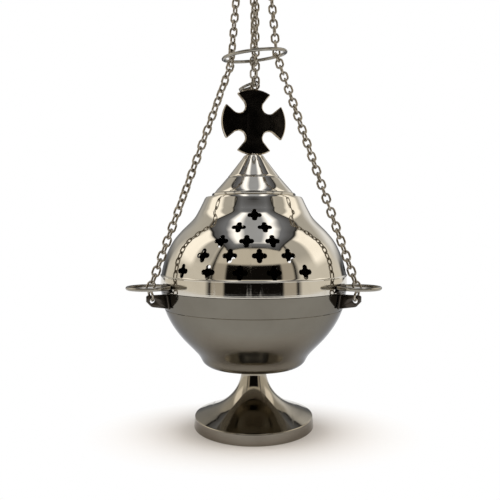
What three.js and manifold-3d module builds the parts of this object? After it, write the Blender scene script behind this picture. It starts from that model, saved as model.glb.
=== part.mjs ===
// Church censer on a trumpet foot: spun bowl, pierced lid with a cross, three outer chains and a lid chain.
// Millimetres, +Z up. The censer's axis is vertical, its front looks towards -Y.
import * as THREE from 'three';
import { mergeVertices } from 'three/addons/utils/BufferGeometryUtils.js';
import Module from 'manifold-3d';

const wasm = await Module();
wasm.setup();

// Driving dimensions. Every outline point is (radius, height above the piece's own foot).
const wall = 1.2;
const seatGap = 0.3;
const turnSegments = 24;
const plainSegments = 20;
const smallSegments = 12;

const foot = {
  height: 36.7,
  rimRadius: 35.5,
  shoulderIn: 1.1,
  shoulderHeight: 6.5,
  flare: [[31.5, 9.9], [26, 10.6], [22.2, 12], [16.9, 14.7], [11.4, 20.5], [8.4, 26.5], [7.2, 35]],
  flareSteps: 7,
  restWidth: 2.8,
  topPlate: 2,
};

const bowl = {
  outline: [[28.3, 0], [30.4, 1.8], [33.7, 7], [43, 16.9], [49.1, 25.5], [53, 34.3], [54.8, 43.4]],
  outlineSteps: 8,
  rimLip: 0.2,
  rimRise: 0.9,
  spigotHeight: 3.7,
  spigotWall: 1,
};

const lid = {
  overhang: 0.4,
  bandHeight: 8.4,
  outline: [[54.9, 0], [52.4, 9.8], [48.4, 18.7], [43.4, 25.2], [35.8, 32.9], [32.5, 38.3], [29.3, 44.9]],
  ledgeRise: 1.1,
  ledgeRadius: 27.6,
  mouthRadius: 21,
  spigotClearance: 0.4,
};

const cone = {
  flangeRadius: 25,
  flangeHeight: 1.8,
  outline: [[23.5, 2], [22, 4.1], [15.8, 11.3], [7.5, 22.1], [6, 24.3]],
  outlineSteps: 4,
};

// Piercings: a triangle of quatrefoils in rows of one to five, repeated between the three chains.
// Heights are above the lid's crease, and angles are in degrees from the front.
const piercing = {
  span: 7.9,
  lobeHalfWidth: 1.25,
  cornerOut: 1.5,
  depth: 10,
  rows: [
    { count: 1, height: 34.2, stepAngle: 0, middleAngle: 0.7 },
    { count: 2, height: 27.6, stepAngle: 19.3, middleAngle: -1.5 },
    { count: 3, height: 20.4, stepAngle: 16.4, middleAngle: -4.5 },
    { count: 4, height: 12.9, stepAngle: 17.1, middleAngle: -5.3 },
    { count: 5, height: 4.4, stepAngle: 18.5, middleAngle: -7.4 },
  ],
  groups: 3,
};

const cross = {
  radius: 19.8,
  notchRadius: 4.1,
  notchIn: 6.5,
  notchMouth: 9.3,
  thickness: 2.4,
  bevel: 0.5,
  yaw: THREE.MathUtils.degToRad(14),
  stemRadius: 2.4,
  stemSink: 9,
  stemInto: 0.8,
  nutHeight: 3,
  nutWall: 1.8,
  aboveCone: 0.5,
};

const crossEye = { radius: 2.5, wire: 1.1, sideways: 0.8, sunk: 0.5 };
const splitRing = { radius: 5.2, width: 1.6, wire: 1, lean: THREE.MathUtils.degToRad(22), intoEye: 0.8 };

const bolt = { radius: 3, headRadius: 5, headHeight: 3, nutRadius: 5.6, nutHeight: 4, clearance: 0.3, pastNut: 1.5 };
const spacer = { radius: 6, height: 8 };
const coalCup = { floorRadius: 18, rimRadius: 23, depth: 18, lipWidth: 2, lipHeight: 1.2 };

const chain = {
  pitch: 4.4,
  linkHalfWidth: 1.62,
  wireInner: 0.6,
  wireOuter: 0.45,
  wireHalfDeep: 0.52,
  bite: 0.1,
  play: 0.3,
  endSlack: 1.4,
  firstAzimuth: THREE.MathUtils.degToRad(210),
  names: ['left', 'right', 'back'],
  kneeUp: 36,
  gatherRadius: 15,
  gatherAboveCross: [13.8, 19.3, 21.3],
};

const jumpRing = { radius: 3, wire: 1.2, leanOut: THREE.MathUtils.degToRad(14), bite: 0.35 };

const lug = {
  holeRadius: 1.5,
  holeOut: 8.6,
  holeBelowRim: 3.4,
  thickness: 1.6,
  edgeBelowRim: 0.5,
  height: 8,
  pastHole: 3.2,
  underHole: 3.3,
  corner: 0.6,
  saddleWidth: 7,
  saddleWall: 1.3,
};

const guideRing = {
  radius: 11.35,
  wire: 1.6,
  aboveRim: 3.3,
  sunk: 1.25,
  earWidth: 18,
  earTopWidth: 5,
  earTip: 0.4,
  earAbove: 1.7,
  earBelow: 2.9,
  earWall: 1,
  segments: 16,
};

const gatheringRing = {
  play: 0.93,
  wire: 1.7,
  aboveCross: 20.3,
  sideways: 0.5,
  roll: THREE.MathUtils.degToRad(6.6),
  pitch: THREE.MathUtils.degToRad(8.6),
  segments: 20,
};

const handPiece = {
  radius: 16,
  aboveCross: 63.3,
  rimBand: 1.6,
  topRadius: 8.4,
  rise: 8,
  wall: 1.5,
  eyeReach: 10.8,
  eyeRadius: 2.3,
  eyeWire: 1.2,
  eyeSunk: 0.4,
  holePlay: 0.7,
};

const handLoop = { radius: 2.7, wire: 1.7, behind: 4.4 };
const suspensionRing = { radius: 13, wire: 2.2 };
const pullRing = { radius: 8, wire: 1.6, aboveHand: 11 };

const nickel = { color: 0xb9b6b0, roughness: 0.16, metalness: 1 };
const satinNickel = { color: 0x9a978f, roughness: 0.3, metalness: 1 };
const darkNickel = { color: 0x6a6762, roughness: 0.35, metalness: 1 };
const brass = { color: 0xb58b45, roughness: 0.35, metalness: 1 };
const steel = { color: 0x8d9096, roughness: 0.4, metalness: 1 };

// Measures that several pieces share.
const bowlBase = foot.height + seatGap;
const [bowlTopRadius, bowlTopHeight] = bowl.outline.at(-1);
const rimRadius = bowlTopRadius + bowl.rimLip;
const rimHeight = bowlBase + bowlTopHeight + bowl.rimRise;
const lidBottom = rimHeight + seatGap;
const lidBottomRadius = rimRadius + lid.overhang;
const lidCrease = lidBottom + lid.bandHeight;
const lidCreaseRadius = lid.outline[0][0];
const ledgeTop = lidCrease + lid.outline.at(-1)[1] + lid.ledgeRise;
const coneBase = ledgeTop + seatGap;
const [coneTopRadius, coneHeight] = cone.outline.at(-1);
const coneTop = coneBase + coneHeight;
const crossCentre = coneTop + cross.aboveCone + cross.radius;
const crossTop = crossCentre + cross.radius;
const boltHole = bolt.radius + bolt.clearance;
const spacerBase = bowlBase + wall + seatGap;
const cupBase = spacerBase + spacer.height + seatGap;
const cupNutBase = cupBase + wall + seatGap;
const linkReach = chain.linkHalfWidth + chain.wireOuter;
const lugHoleReach = rimRadius + lug.holeOut;
const lugHoleHeight = rimHeight - lug.holeBelowRim;
const handRim = crossTop + handPiece.aboveCross;
const handTop = handRim + handPiece.rise;
const lidChainTop = handTop + pullRing.aboveHand;

const censer = new THREE.Group();

// Turns a three.js geometry into a closed solid that can be joined and cut.
function toSolid(geometry, tolerance = 1e-4) {
  const bare = geometry.clone();
  bare.deleteAttribute('normal');
  bare.deleteAttribute('uv');
  const merged = mergeVertices(bare, tolerance);
  const index = merged.index.array;
  const corners = [];
  for (let i = 0; i < index.length; i += 3) {
    const [a, b, c] = [index[i], index[i + 1], index[i + 2]];
    if (a !== b && b !== c && c !== a) corners.push(a, b, c);
  }
  const vertProperties = new Float32Array(merged.attributes.position.array);
  const triVerts = new Uint32Array(corners);
  return new wasm.Manifold(new wasm.Mesh({ numProp: 3, vertProperties, triVerts }));
}

function fromSolid(solid) {
  const { vertProperties, triVerts } = solid.getMesh();
  const geometry = new THREE.BufferGeometry();
  geometry.setAttribute('position', new THREE.BufferAttribute(new Float32Array(vertProperties), 3));
  geometry.setIndex(new THREE.BufferAttribute(new Uint32Array(triVerts), 1));
  return geometry;
}

function addPiece(name, shape, finish) {
  const geometry = shape.isBufferGeometry ? shape : fromSolid(shape);
  const mesh = new THREE.Mesh(geometry, new THREE.MeshStandardMaterial(finish));
  mesh.name = name;
  censer.add(mesh);
}

// Turns a profile, anticlockwise in (radius, height), about the vertical axis.
function turned(profile, segments = turnSegments) {
  const points = profile.map((p) => (p.isVector2 ? p : new THREE.Vector2(...p)));
  const closes = points[0].x > 0;
  const loop = closes ? [...points, points[0]] : points;
  return new THREE.LatheGeometry(loop, segments).rotateX(Math.PI / 2);
}

function smoothCurve(pairs, base = 0) {
  return new THREE.SplineCurve(pairs.map(([radius, height]) => new THREE.Vector2(radius, base + height)));
}

// Points along an outline, moved inwards by inset square to the curve.
function outlinePoints(curve, steps, inset = 0) {
  return Array.from({ length: steps + 1 }, (_, i) => {
    const tangent = curve.getTangent(i / steps);
    const point = curve.getPoint(i / steps);
    return new THREE.Vector2(point.x - tangent.y * inset, point.y + tangent.x * inset);
  });
}

function cylinder(radius, bottom, top, segments = smallSegments) {
  const height = top - bottom;
  return new THREE.CylinderGeometry(radius, radius, height, segments)
    .rotateX(Math.PI / 2)
    .translate(0, 0, bottom + height / 2);
}

function tubeRing(radius, wire, segments = 20, sides = 4) {
  return new THREE.TorusGeometry(radius, wire / 2, sides, segments);
}

function radialPlace(azimuth, radius, height) {
  return new THREE.Vector3(Math.cos(azimuth) * radius, Math.sin(azimuth) * radius, height);
}

const chainAzimuths = chain.names.map((_, i) => chain.firstAzimuth + (i * 2 * Math.PI) / 3);

// Foot: a spun trumpet, open underneath, with a plate at the neck that the bolt pulls on.
function footProfile() {
  const flare = smoothCurve(foot.flare);
  const outer = outlinePoints(flare, foot.flareSteps);
  const inner = outlinePoints(flare, foot.flareSteps, wall).reverse();
  const neckRadius = outer.at(-1).x;
  const plateBottom = foot.height - foot.topPlate;
  const shoulder = new THREE.Vector2(foot.rimRadius - foot.shoulderIn, foot.shoulderHeight);
  const bulge = shoulder.clone().lerp(outer[0], 0.5).add(new THREE.Vector2(0.5, 0.8));
  return [
    [foot.rimRadius - foot.restWidth, 0],
    [foot.rimRadius, 0],
    shoulder,
    bulge,
    ...outer,
    [neckRadius, foot.height],
    [boltHole, foot.height],
    [boltHole, plateBottom],
    [neckRadius - wall, plateBottom],
    ...inner.filter((p) => p.y < plateBottom - 1),
    [shoulder.x - wall * 1.4, shoulder.y - wall / 2],
  ];
}
addPiece('foot', turned(footProfile(), plainSegments), nickel);

// Bowl: spun, with a ledge for the lid and a spigot that centres it.
const bowlCurve = smoothCurve(bowl.outline, bowlBase);
const spigotRadius = lidBottomRadius - wall - lid.spigotClearance;
const spigotTop = rimHeight + bowl.spigotHeight;

function bowlProfile() {
  const spigotInner = spigotRadius - bowl.spigotWall;
  const inner = outlinePoints(bowlCurve, bowl.outlineSteps, wall).filter((p) => p.x < spigotInner);
  return [
    [boltHole, bowlBase],
    ...outlinePoints(bowlCurve, bowl.outlineSteps),
    [rimRadius, rimHeight],
    [spigotRadius, rimHeight],
    [spigotRadius, spigotTop],
    [spigotInner, spigotTop],
    [spigotInner, inner.at(-1).y + 2],
    ...inner.reverse().slice(0, -1),
    [bowl.outline[0][0] - wall / 2, bowlBase + wall],
    [boltHole, bowlBase + wall],
  ];
}
addPiece('bowl', turned(bowlProfile()), satinNickel);

// Bolt, spacer, coal cup and nut that stand on each other in the middle of the bowl.
function hexNut(radius, hole, bottom, top) {
  return toSolid(cylinder(radius, bottom, top, 6)).subtract(toSolid(cylinder(hole, bottom - 1, top + 1)));
}

const boltHeadTop = foot.height - foot.topPlate - seatGap;
const boltTop = cupNutBase + bolt.nutHeight + bolt.pastNut;
const boltProfile = [
  [0, boltHeadTop - bolt.headHeight],
  [bolt.headRadius, boltHeadTop - bolt.headHeight],
  [bolt.headRadius, boltHeadTop],
  [bolt.radius, boltHeadTop],
  [bolt.radius, boltTop],
  [0, boltTop],
];
addPiece('foot_bolt', turned(boltProfile, smallSegments), steel);
addPiece('cup_spacer', turned([
  [boltHole, spacerBase],
  [spacer.radius, spacerBase],
  [spacer.radius, spacerBase + spacer.height],
  [boltHole, spacerBase + spacer.height],
], smallSegments), brass);
addPiece('cup_nut', hexNut(bolt.nutRadius, boltHole, cupNutBase, cupNutBase + bolt.nutHeight), steel);

const cupTop = cupBase + coalCup.depth;
const cupProfile = [
  [boltHole, cupBase],
  [coalCup.floorRadius, cupBase],
  [coalCup.rimRadius, cupTop - coalCup.lipHeight],
  [coalCup.rimRadius + coalCup.lipWidth, cupTop - coalCup.lipHeight],
  [coalCup.rimRadius + coalCup.lipWidth, cupTop],
  [coalCup.rimRadius - wall, cupTop],
  [coalCup.floorRadius - wall / 2, cupBase + wall],
  [boltHole, cupBase + wall],
];
addPiece('coal_cup', turned(cupProfile, plainSegments), brass);

// Lid: a spun bell with a straight band, pierced by three triangles of quatrefoils.
const lidCurve = smoothCurve(lid.outline, lidCrease);
const origin = new THREE.Vector2(0, 0);

// Place and outward direction of the lid's wall at a height.
function lidWallAt(height) {
  let low = 0;
  let high = 1;
  for (let i = 0; i < 30; i++) {
    const middle = (low + high) / 2;
    if (lidCurve.getPoint(middle).y < height) low = middle;
    else high = middle;
  }
  const tangent = lidCurve.getTangent(low);
  return { point: lidCurve.getPoint(low), out: new THREE.Vector2(tangent.y, -tangent.x) };
}

// The wall's facets meet between the rows of piercings, so that no piercing runs over a seam.
function lidProfile() {
  const rowHeights = piercing.rows.map((row) => lidCrease + row.height).reverse();
  const seams = rowHeights.slice(1).map((height, i) => (height + rowHeights[i]) / 2);
  const aboveRows = 2 * rowHeights.at(-1) - seams.at(-1);
  const walls = [lidCrease, ...seams, aboveRows, ledgeTop - lid.ledgeRise].map(lidWallAt);
  const inner = walls.map(({ point, out }) => point.clone().addScaledVector(out, -wall)).reverse();
  return [
    [lidBottomRadius - wall, lidBottom],
    [lidBottomRadius, lidBottom],
    ...walls.map(({ point }) => point),
    [lid.ledgeRadius, ledgeTop],
    [lid.mouthRadius, ledgeTop],
    [lid.mouthRadius, ledgeTop - wall],
    [lid.ledgeRadius - wall / 2, ledgeTop - wall],
    ...inner.slice(1, -1),
    [lidCreaseRadius - wall, lidCrease],
  ];
}

function quatrefoilShape() {
  const tip = piercing.span / 2;
  const corners = [];
  for (let lobe = 0; lobe < 4; lobe++) {
    const turn = (lobe * Math.PI) / 2;
    const side = new THREE.Vector2(tip, piercing.lobeHalfWidth);
    corners.push(
      new THREE.Vector2(tip, -piercing.lobeHalfWidth).rotateAround(origin, turn),
      side.rotateAround(origin, turn),
      new THREE.Vector2(piercing.cornerOut, piercing.cornerOut).rotateAround(origin, turn),
    );
  }
  return new THREE.Shape(corners);
}

function quatrefoilCutter(height, azimuth) {
  const place = lidWallAt(height);
  const cutter = new THREE.ExtrudeGeometry(quatrefoilShape(), { depth: piercing.depth, bevelEnabled: false });
  cutter.translate(0, 0, -piercing.depth / 2);
  const outward = new THREE.Vector3(
    Math.cos(azimuth) * place.out.x,
    Math.sin(azimuth) * place.out.x,
    place.out.y,
  );
  const sideways = new THREE.Vector3(-Math.sin(azimuth), Math.cos(azimuth), 0);
  const upward = new THREE.Vector3().crossVectors(outward, sideways);
  const matrix = new THREE.Matrix4().makeBasis(sideways, upward, outward);
  matrix.setPosition(radialPlace(azimuth, place.point.x, height));
  return toSolid(cutter.applyMatrix4(matrix));
}

function lidDome() {
  let dome = toSolid(turned(lidProfile()));
  for (let group = 0; group < piercing.groups; group++) {
    for (const row of piercing.rows) {
      for (let i = 0; i < row.count; i++) {
        const alongRow = row.middleAngle + (i - (row.count - 1) / 2) * row.stepAngle;
        const fromFront = alongRow + (group * 360) / piercing.groups;
        const azimuth = THREE.MathUtils.degToRad(fromFront - 90);
        dome = dome.subtract(quatrefoilCutter(lidCrease + row.height, azimuth));
      }
    }
  }
  return dome;
}
addPiece('lid_dome', lidDome(), nickel);

// Cone cap: its flange stands on the lid's ledge, its top carries the cross.
function coneProfile() {
  const curve = smoothCurve(cone.outline, coneBase);
  const inner = outlinePoints(curve, cone.outlineSteps, wall).reverse();
  const stemHole = cross.stemRadius + bolt.clearance;
  return [
    [lid.mouthRadius, coneBase],
    [cone.flangeRadius, coneBase],
    [cone.flangeRadius, coneBase + cone.flangeHeight],
    ...outlinePoints(curve, cone.outlineSteps),
    [stemHole, coneTop],
    [stemHole, coneTop - wall],
    [coneTopRadius - wall, coneTop - wall],
    ...inner.slice(1),
  ];
}
addPiece('lid_cone', turned(coneProfile(), plainSegments), nickel);

// Cross: a disc with four round-bottomed notches, a threaded stem below and an eye on top.
function crossOutline() {
  const shape = new THREE.Shape();
  const reach = cross.radius - cross.notchIn;
  const mouthHalf = Math.asin(cross.notchMouth / 2 / cross.radius);
  for (let arm = 0; arm < 4; arm++) {
    const notchAngle = (arm * Math.PI) / 2 + Math.PI / 4;
    const start = notchAngle - Math.PI / 2 + mouthHalf;
    const cx = Math.cos(notchAngle) * reach;
    const cy = Math.sin(notchAngle) * reach;
    shape.absarc(0, 0, cross.radius, start, notchAngle - mouthHalf, false);
    shape.absarc(cx, cy, cross.notchRadius, notchAngle - Math.PI / 2, notchAngle + Math.PI / 2, true);
  }
  return shape;
}

function crossPlate() {
  const settings = {
    depth: cross.thickness - 2 * cross.bevel,
    bevelEnabled: true,
    bevelSize: cross.bevel,
    bevelOffset: -cross.bevel,
    bevelThickness: cross.bevel,
    bevelSegments: 1,
    curveSegments: 3,
  };
  const plate = new THREE.ExtrudeGeometry(crossOutline(), settings);
  plate.translate(0, 0, -settings.depth / 2);
  return toSolid(plate.rotateX(Math.PI / 2));
}

const eyeHeight = cross.radius + crossEye.radius + crossEye.wire / 2 - crossEye.sunk;
const crossPlace = new THREE.Matrix4()
  .makeRotationZ(cross.yaw)
  .setPosition(0, 0, crossCentre);

function crossSolid() {
  const stemTop = cross.stemInto - cross.radius;
  const stem = toSolid(cylinder(cross.stemRadius, -cross.radius - cross.stemSink, stemTop, 12));
  const eye = tubeRing(crossEye.radius, crossEye.wire, 12).rotateX(Math.PI / 2);
  eye.translate(crossEye.sideways, 0, eyeHeight);
  return crossPlate().add(stem).add(toSolid(eye));
}
addPiece('cross', fromSolid(crossSolid()).applyMatrix4(crossPlace), darkNickel);

const crossNutTop = coneTop - wall - seatGap;
const crossNutRadius = cross.stemRadius + cross.nutWall;
const crossNutHole = cross.stemRadius + bolt.clearance;
addPiece('cross_nut', hexNut(crossNutRadius, crossNutHole, crossNutTop - cross.nutHeight, crossNutTop), steel);

// Split ring: threaded through the cross's eye and leaning on the top of its left arm.
const ringAcross = new THREE.Vector3(Math.cos(splitRing.lean), 0, Math.sin(splitRing.lean));
const ringThrough = new THREE.Vector3(0, 1, 0);
const ringEnd = new THREE.Vector3(crossEye.sideways + 0.4, 0, eyeHeight + splitRing.intoEye);
const ringCentre = ringEnd.clone().addScaledVector(ringAcross, -splitRing.radius);

function splitRingSolid() {
  const half = splitRing.width / 2;
  const inner = splitRing.radius - splitRing.wire / 2;
  const outer = splitRing.radius + splitRing.wire / 2;
  const ring = turned([[inner, -half], [outer, -half], [outer, half], [inner, half]], 16);
  const basis = new THREE.Matrix4().makeBasis(
    ringAcross,
    ringThrough,
    new THREE.Vector3().crossVectors(ringAcross, ringThrough),
  );
  basis.setPosition(ringCentre);
  return ring.applyMatrix4(basis).applyMatrix4(crossPlace);
}
addPiece('cross_ring', splitRingSolid(), nickel);

// One link: a four-cornered loop of three-sided wire, long along Z, flat in the XZ plane.
function linkGeometry(halfLength) {
  const side = chain.linkHalfWidth;
  const path = [[side, -halfLength], [side, halfLength], [-side, halfLength], [-side, -halfLength]]
    .map(([x, z]) => new THREE.Vector2(x, z));
  const section = [
    [chain.wireOuter, -chain.wireHalfDeep],
    [chain.wireOuter, chain.wireHalfDeep],
    [-chain.wireInner, 0],
  ];
  const corners = path.length;
  const sides = section.length;
  const positions = [];
  const index = [];
  path.forEach((point, i) => {
    const before = path[(i + corners - 1) % corners];
    const after = path[(i + 1) % corners];
    const arriving = point.clone().sub(before).normalize();
    const leaving = after.clone().sub(point).normalize();
    const tangent = arriving.add(leaving).normalize();
    for (const [out, deep] of section) {
      const mitre = out * Math.SQRT2;
      positions.push(point.x + tangent.y * mitre, deep, point.y - tangent.x * mitre);
    }
    const next = (i + 1) % corners;
    for (let j = 0; j < sides; j++) {
      const k = (j + 1) % sides;
      index.push(i * sides + j, i * sides + k, next * sides + j);
      index.push(i * sides + k, next * sides + k, next * sides + j);
    }
  });
  const geometry = new THREE.BufferGeometry();
  geometry.setAttribute('position', new THREE.Float32BufferAttribute(positions, 3));
  geometry.setIndex(index);
  return geometry;
}

// A run of links from the centre of its first wire to the centre of its last, each a quarter turn on.
// The links are joined standing on end, and the whole run is then laid along its line.
const wireAcross = 2 * chain.wireInner;

function runLength(start, end) {
  return start.distanceTo(end) - wireAcross + chain.bite;
}

// The whole number of links nearest to the run's length, one more or less where the next turn asks for it.
function linkCount(length, startTurn, nextTurn) {
  const nearest = Math.round(length / chain.pitch);
  if ((nearest + startTurn - nextTurn) % 2 === 0) return nearest;
  return length / chain.pitch > nearest ? nearest + 1 : nearest - 1;
}

function chainRun(start, end, sideways, startTurn, nextTurn) {
  const length = runLength(start, end);
  const direction = end.clone().sub(start).normalize();
  const count = linkCount(length, startTurn, nextTurn);
  const pitch = length / count;
  const halfLength = (pitch + wireAcross - chain.bite) / 2;
  let run = null;
  for (let k = 0; k < count; k++) {
    const link = linkGeometry(halfLength).rotateZ(((k + startTurn) % 2) * (Math.PI / 2));
    const solid = toSolid(link.translate(0, 0, halfLength + k * pitch));
    run = run ? run.add(solid) : solid;
  }
  const flat = sideways.clone().addScaledVector(direction, -sideways.dot(direction)).normalize();
  const deep = new THREE.Vector3().crossVectors(direction, flat);
  const matrix = new THREE.Matrix4().makeBasis(flat, deep, direction).setPosition(start);
  return fromSolid(run).applyMatrix4(matrix);
}

// Three outer chains. Each has a run that swings at the lug, one that swings at a knee and a fixed top run.
function outerChain(i) {
  const azimuth = chainAzimuths[i];
  const at = (radius, height) => radialPlace(azimuth, radius, height);
  const tangent = new THREE.Vector3(-Math.sin(azimuth), Math.cos(azimuth), 0);
  const hole = at(lugHoleReach, lugHoleHeight);
  const ringTop = at(
    lugHoleReach + 2 * jumpRing.radius * Math.sin(jumpRing.leanOut),
    lugHoleHeight + 2 * jumpRing.radius * Math.cos(jumpRing.leanOut),
  );
  const gather = at(chain.gatherRadius, crossTop + chain.gatherAboveCross[i]);
  const slope = gather.clone().sub(ringTop).normalize();
  const ringHook = jumpRing.wire / 2 + chain.wireInner - jumpRing.bite;
  const lowerStart = ringTop.clone().addScaledVector(slope, -ringHook);
  const knee = lowerStart.clone().addScaledVector(slope, chain.kneeUp);
  const lower = chainRun(lowerStart, knee, at(1, 0), 0, 0);

  const ringUp = ringTop.clone().sub(hole).normalize();
  const ringAxis = new THREE.Vector3().crossVectors(tangent, ringUp);
  const basis = new THREE.Matrix4().makeBasis(tangent, ringUp, ringAxis);
  basis.setPosition(hole.clone().lerp(ringTop, 0.5));
  const ring = tubeRing(jumpRing.radius, jumpRing.wire, 12).applyMatrix4(basis);
  addPiece(`lower_chain_${chain.names[i]}`, toSolid(lower).add(toSolid(ring)), nickel);

  // The hand-piece's eye lies across the chain's plane, so the top link lies in it.
  const eyeBottom = handEyeCentre - handPiece.eyeRadius;
  const hookUp = handPiece.eyeWire / 2 + chain.wireInner + chain.play;
  const top = at(handPiece.eyeReach, eyeBottom + hookUp);
  const bisector = top.clone().sub(gather).normalize().add(slope).normalize();
  const upperStart = gather.clone().addScaledVector(bisector, -(wireAcross + chain.endSlack));
  const upperLinks = Math.round(runLength(upperStart, top) / chain.pitch);
  const upperTurn = (upperLinks + 1) % 2;
  const upper = chainRun(upperStart, top, at(1, 0), upperTurn, 1);
  addPiece(`upper_chain_${chain.names[i]}`, upper, nickel);

  const midStart = knee.clone().addScaledVector(slope, -(wireAcross + chain.play));
  const mid = chainRun(midStart, gather, at(1, 0), 0, upperTurn);
  addPiece(`mid_chain_${chain.names[i]}`, mid, nickel);
}

// Hand-piece: a small cap with three eyes underneath, a hole for the lid chain and a loop on top.
const handUnderside = handTop - handPiece.wall;
const eyeFromRim = (handPiece.radius - handPiece.eyeReach) / (handPiece.radius - handPiece.topRadius);
const capRise = handPiece.rise - handPiece.rimBand;
const eyeCeiling = handRim + handPiece.rimBand + eyeFromRim * capRise - handPiece.wall;
const handEyeCentre = eyeCeiling - handPiece.eyeRadius + handPiece.eyeSunk;

const lidChainHook = new THREE.Vector3()
  .copy(ringCentre)
  .addScaledVector(ringAcross, splitRing.radius * Math.cos(THREE.MathUtils.degToRad(32)))
  .addScaledVector(ringThrough, -splitRing.radius * Math.sin(THREE.MathUtils.degToRad(32)))
  .applyMatrix4(crossPlace);

function handPieceSolid() {
  const cap = toSolid(turned([
    [handPiece.radius - handPiece.wall, handRim],
    [handPiece.radius, handRim],
    [handPiece.radius, handRim + handPiece.rimBand],
    [(handPiece.radius + handPiece.topRadius) / 2 + 1, handTop - capRise * 0.3],
    [handPiece.topRadius, handTop],
    [0, handTop],
    [0, handUnderside],
    [handPiece.topRadius - handPiece.wall / 2, handUnderside],
    [(handPiece.radius + handPiece.topRadius) / 2 - 0.2, handUnderside - capRise * 0.35],
  ], plainSegments));
  let solid = cap;
  for (const azimuth of chainAzimuths) {
    const eye = tubeRing(handPiece.eyeRadius, handPiece.eyeWire, 8).rotateX(Math.PI / 2);
    eye.rotateZ(azimuth + Math.PI / 2);
    const place = radialPlace(azimuth, handPiece.eyeReach, handEyeCentre);
    eye.translate(place.x, place.y, place.z);
    solid = solid.add(toSolid(eye));
  }
  const hole = cylinder(linkReach + handPiece.holePlay, handRim, handTop + 1, 16);
  hole.translate(lidChainHook.x, lidChainHook.y, 0);
  return solid.subtract(toSolid(hole));
}
addPiece('hand_piece', handPieceSolid(), nickel);

chain.names.forEach((_, i) => outerChain(i));

// Loop on the cap, brazed down, and the ring that the server holds.
const handLoopHeight = handTop + seatGap + handLoop.radius + handLoop.wire / 2;
function handLoopSolid() {
  const loop = toSolid(tubeRing(handLoop.radius, handLoop.wire, 12).rotateY(Math.PI / 2));
  const pad = toSolid(cylinder(handLoop.wire, -handLoop.radius - handLoop.wire / 2, -handLoop.radius, 12));
  return fromSolid(loop.add(pad)).translate(0, handLoop.behind, handLoopHeight);
}
addPiece('hand_loop', handLoopSolid(), nickel);

const suspension = tubeRing(suspensionRing.radius, suspensionRing.wire, 20, 5).rotateX(Math.PI / 2);
suspension.translate(0, handLoop.behind, handLoopHeight + suspensionRing.radius);
addPiece('suspension_ring', suspension, nickel);

// Lid chain, from the split ring up through the cap, and its pull ring.
const lidChainStart = lidChainHook.clone();
lidChainStart.z -= splitRing.width / 2 + chain.wireInner + seatGap;
const lidChainEnd = new THREE.Vector3(lidChainHook.x, lidChainHook.y, lidChainTop);
const hookSideways = new THREE.Vector3(1, 0, 0).applyAxisAngle(new THREE.Vector3(0, 0, 1), cross.yaw - 0.5);
addPiece('lid_chain', chainRun(lidChainStart, lidChainEnd, hookSideways, 0, 0), nickel);

const pull = tubeRing(pullRing.radius, pullRing.wire, 16, 6).rotateX(Math.PI / 2);
const pullBottom = lidChainTop - chain.wireInner - pullRing.wire / 2 - chain.play;
pull.rotateZ(Math.atan2(hookSideways.y, hookSideways.x));
pull.translate(lidChainHook.x, lidChainHook.y, pullBottom + pullRing.radius);
addPiece('pull_ring', pull, nickel);

// Chain lugs: an upright plate with the chain's hole, on a saddle that hugs the bowl under its rim.
function jacket(curve, steps, from, to) {
  const outer = outlinePoints(curve, steps, -to);
  const inner = outlinePoints(curve, steps, -from).reverse();
  return toSolid(turned([...outer, ...inner]));
}

function block(x0, x1, width, z0, z1) {
  const box = new THREE.BoxGeometry(x1 - x0, width, z1 - z0);
  return box.translate((x0 + x1) / 2, 0, (z0 + z1) / 2);
}

const lugTop = rimHeight - lug.edgeBelowRim;
const lugBottom = lugTop - lug.height;
const lugNose = lugHoleReach + lug.pastHole;
const bowlJacket = jacket(bowlCurve, bowl.outlineSteps, seatGap, seatGap + lug.saddleWall);
const bowlBlank = toSolid(turned([
  [0, bowlBase],
  ...outlinePoints(bowlCurve, bowl.outlineSteps, -seatGap),
  [rimRadius + seatGap, rimHeight],
  [0, rimHeight],
]));

function lugSolid(azimuth) {
  const inside = bowl.outline[3][0];
  const outline = new THREE.Shape([
    new THREE.Vector2(inside, lugBottom),
    new THREE.Vector2(lugHoleReach + lug.corner, lugHoleHeight - lug.underHole),
    new THREE.Vector2(lugNose, lugHoleHeight - lug.corner),
    new THREE.Vector2(lugNose, lugTop - lug.corner),
    new THREE.Vector2(lugNose - lug.corner, lugTop),
    new THREE.Vector2(inside, lugTop),
  ]);
  const plate = new THREE.ExtrudeGeometry(outline, { depth: lug.thickness, bevelEnabled: false });
  plate.translate(0, 0, -lug.thickness / 2).rotateX(Math.PI / 2);
  const saddle = block(inside, lugNose, lug.saddleWidth, lugBottom, lugTop);
  const hole = new THREE.CylinderGeometry(lug.holeRadius, lug.holeRadius, 4 * lug.thickness, 12);
  hole.translate(lugHoleReach, 0, lugHoleHeight);
  const solid = toSolid(plate)
    .add(toSolid(saddle).intersect(bowlJacket))
    .subtract(bowlBlank)
    .subtract(toSolid(hole));
  return fromSolid(solid).rotateZ(azimuth);
}

// Guide rings: a wire ring round each chain, on an ear that hugs the lid's band and tapers to its lower edge.
function lidBandRadius(height) {
  const up = (height - lidBottom) / lid.bandHeight;
  return lidBottomRadius + (lidCreaseRadius - lidBottomRadius) * up;
}

const guideHeight = lidBottom + guideRing.aboveRim;
const earBottom = guideHeight - guideRing.earBelow;
const earTop = guideHeight + guideRing.earAbove;

function bandSleeve(from, to) {
  return toSolid(turned([
    [lidBandRadius(earBottom) + from, earBottom],
    [lidBandRadius(earBottom) + to, earBottom],
    [lidBandRadius(earTop) + to, earTop],
    [lidBandRadius(earTop) + from, earTop],
  ]));
}

const earSleeve = bandSleeve(seatGap, seatGap + guideRing.earWall);
const lidBlank = toSolid(cylinder(lidBottomRadius + seatGap, lidBottom, lidCrease, turnSegments));
const guideReach = lidBottomRadius + guideRing.radius - guideRing.sunk;

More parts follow.
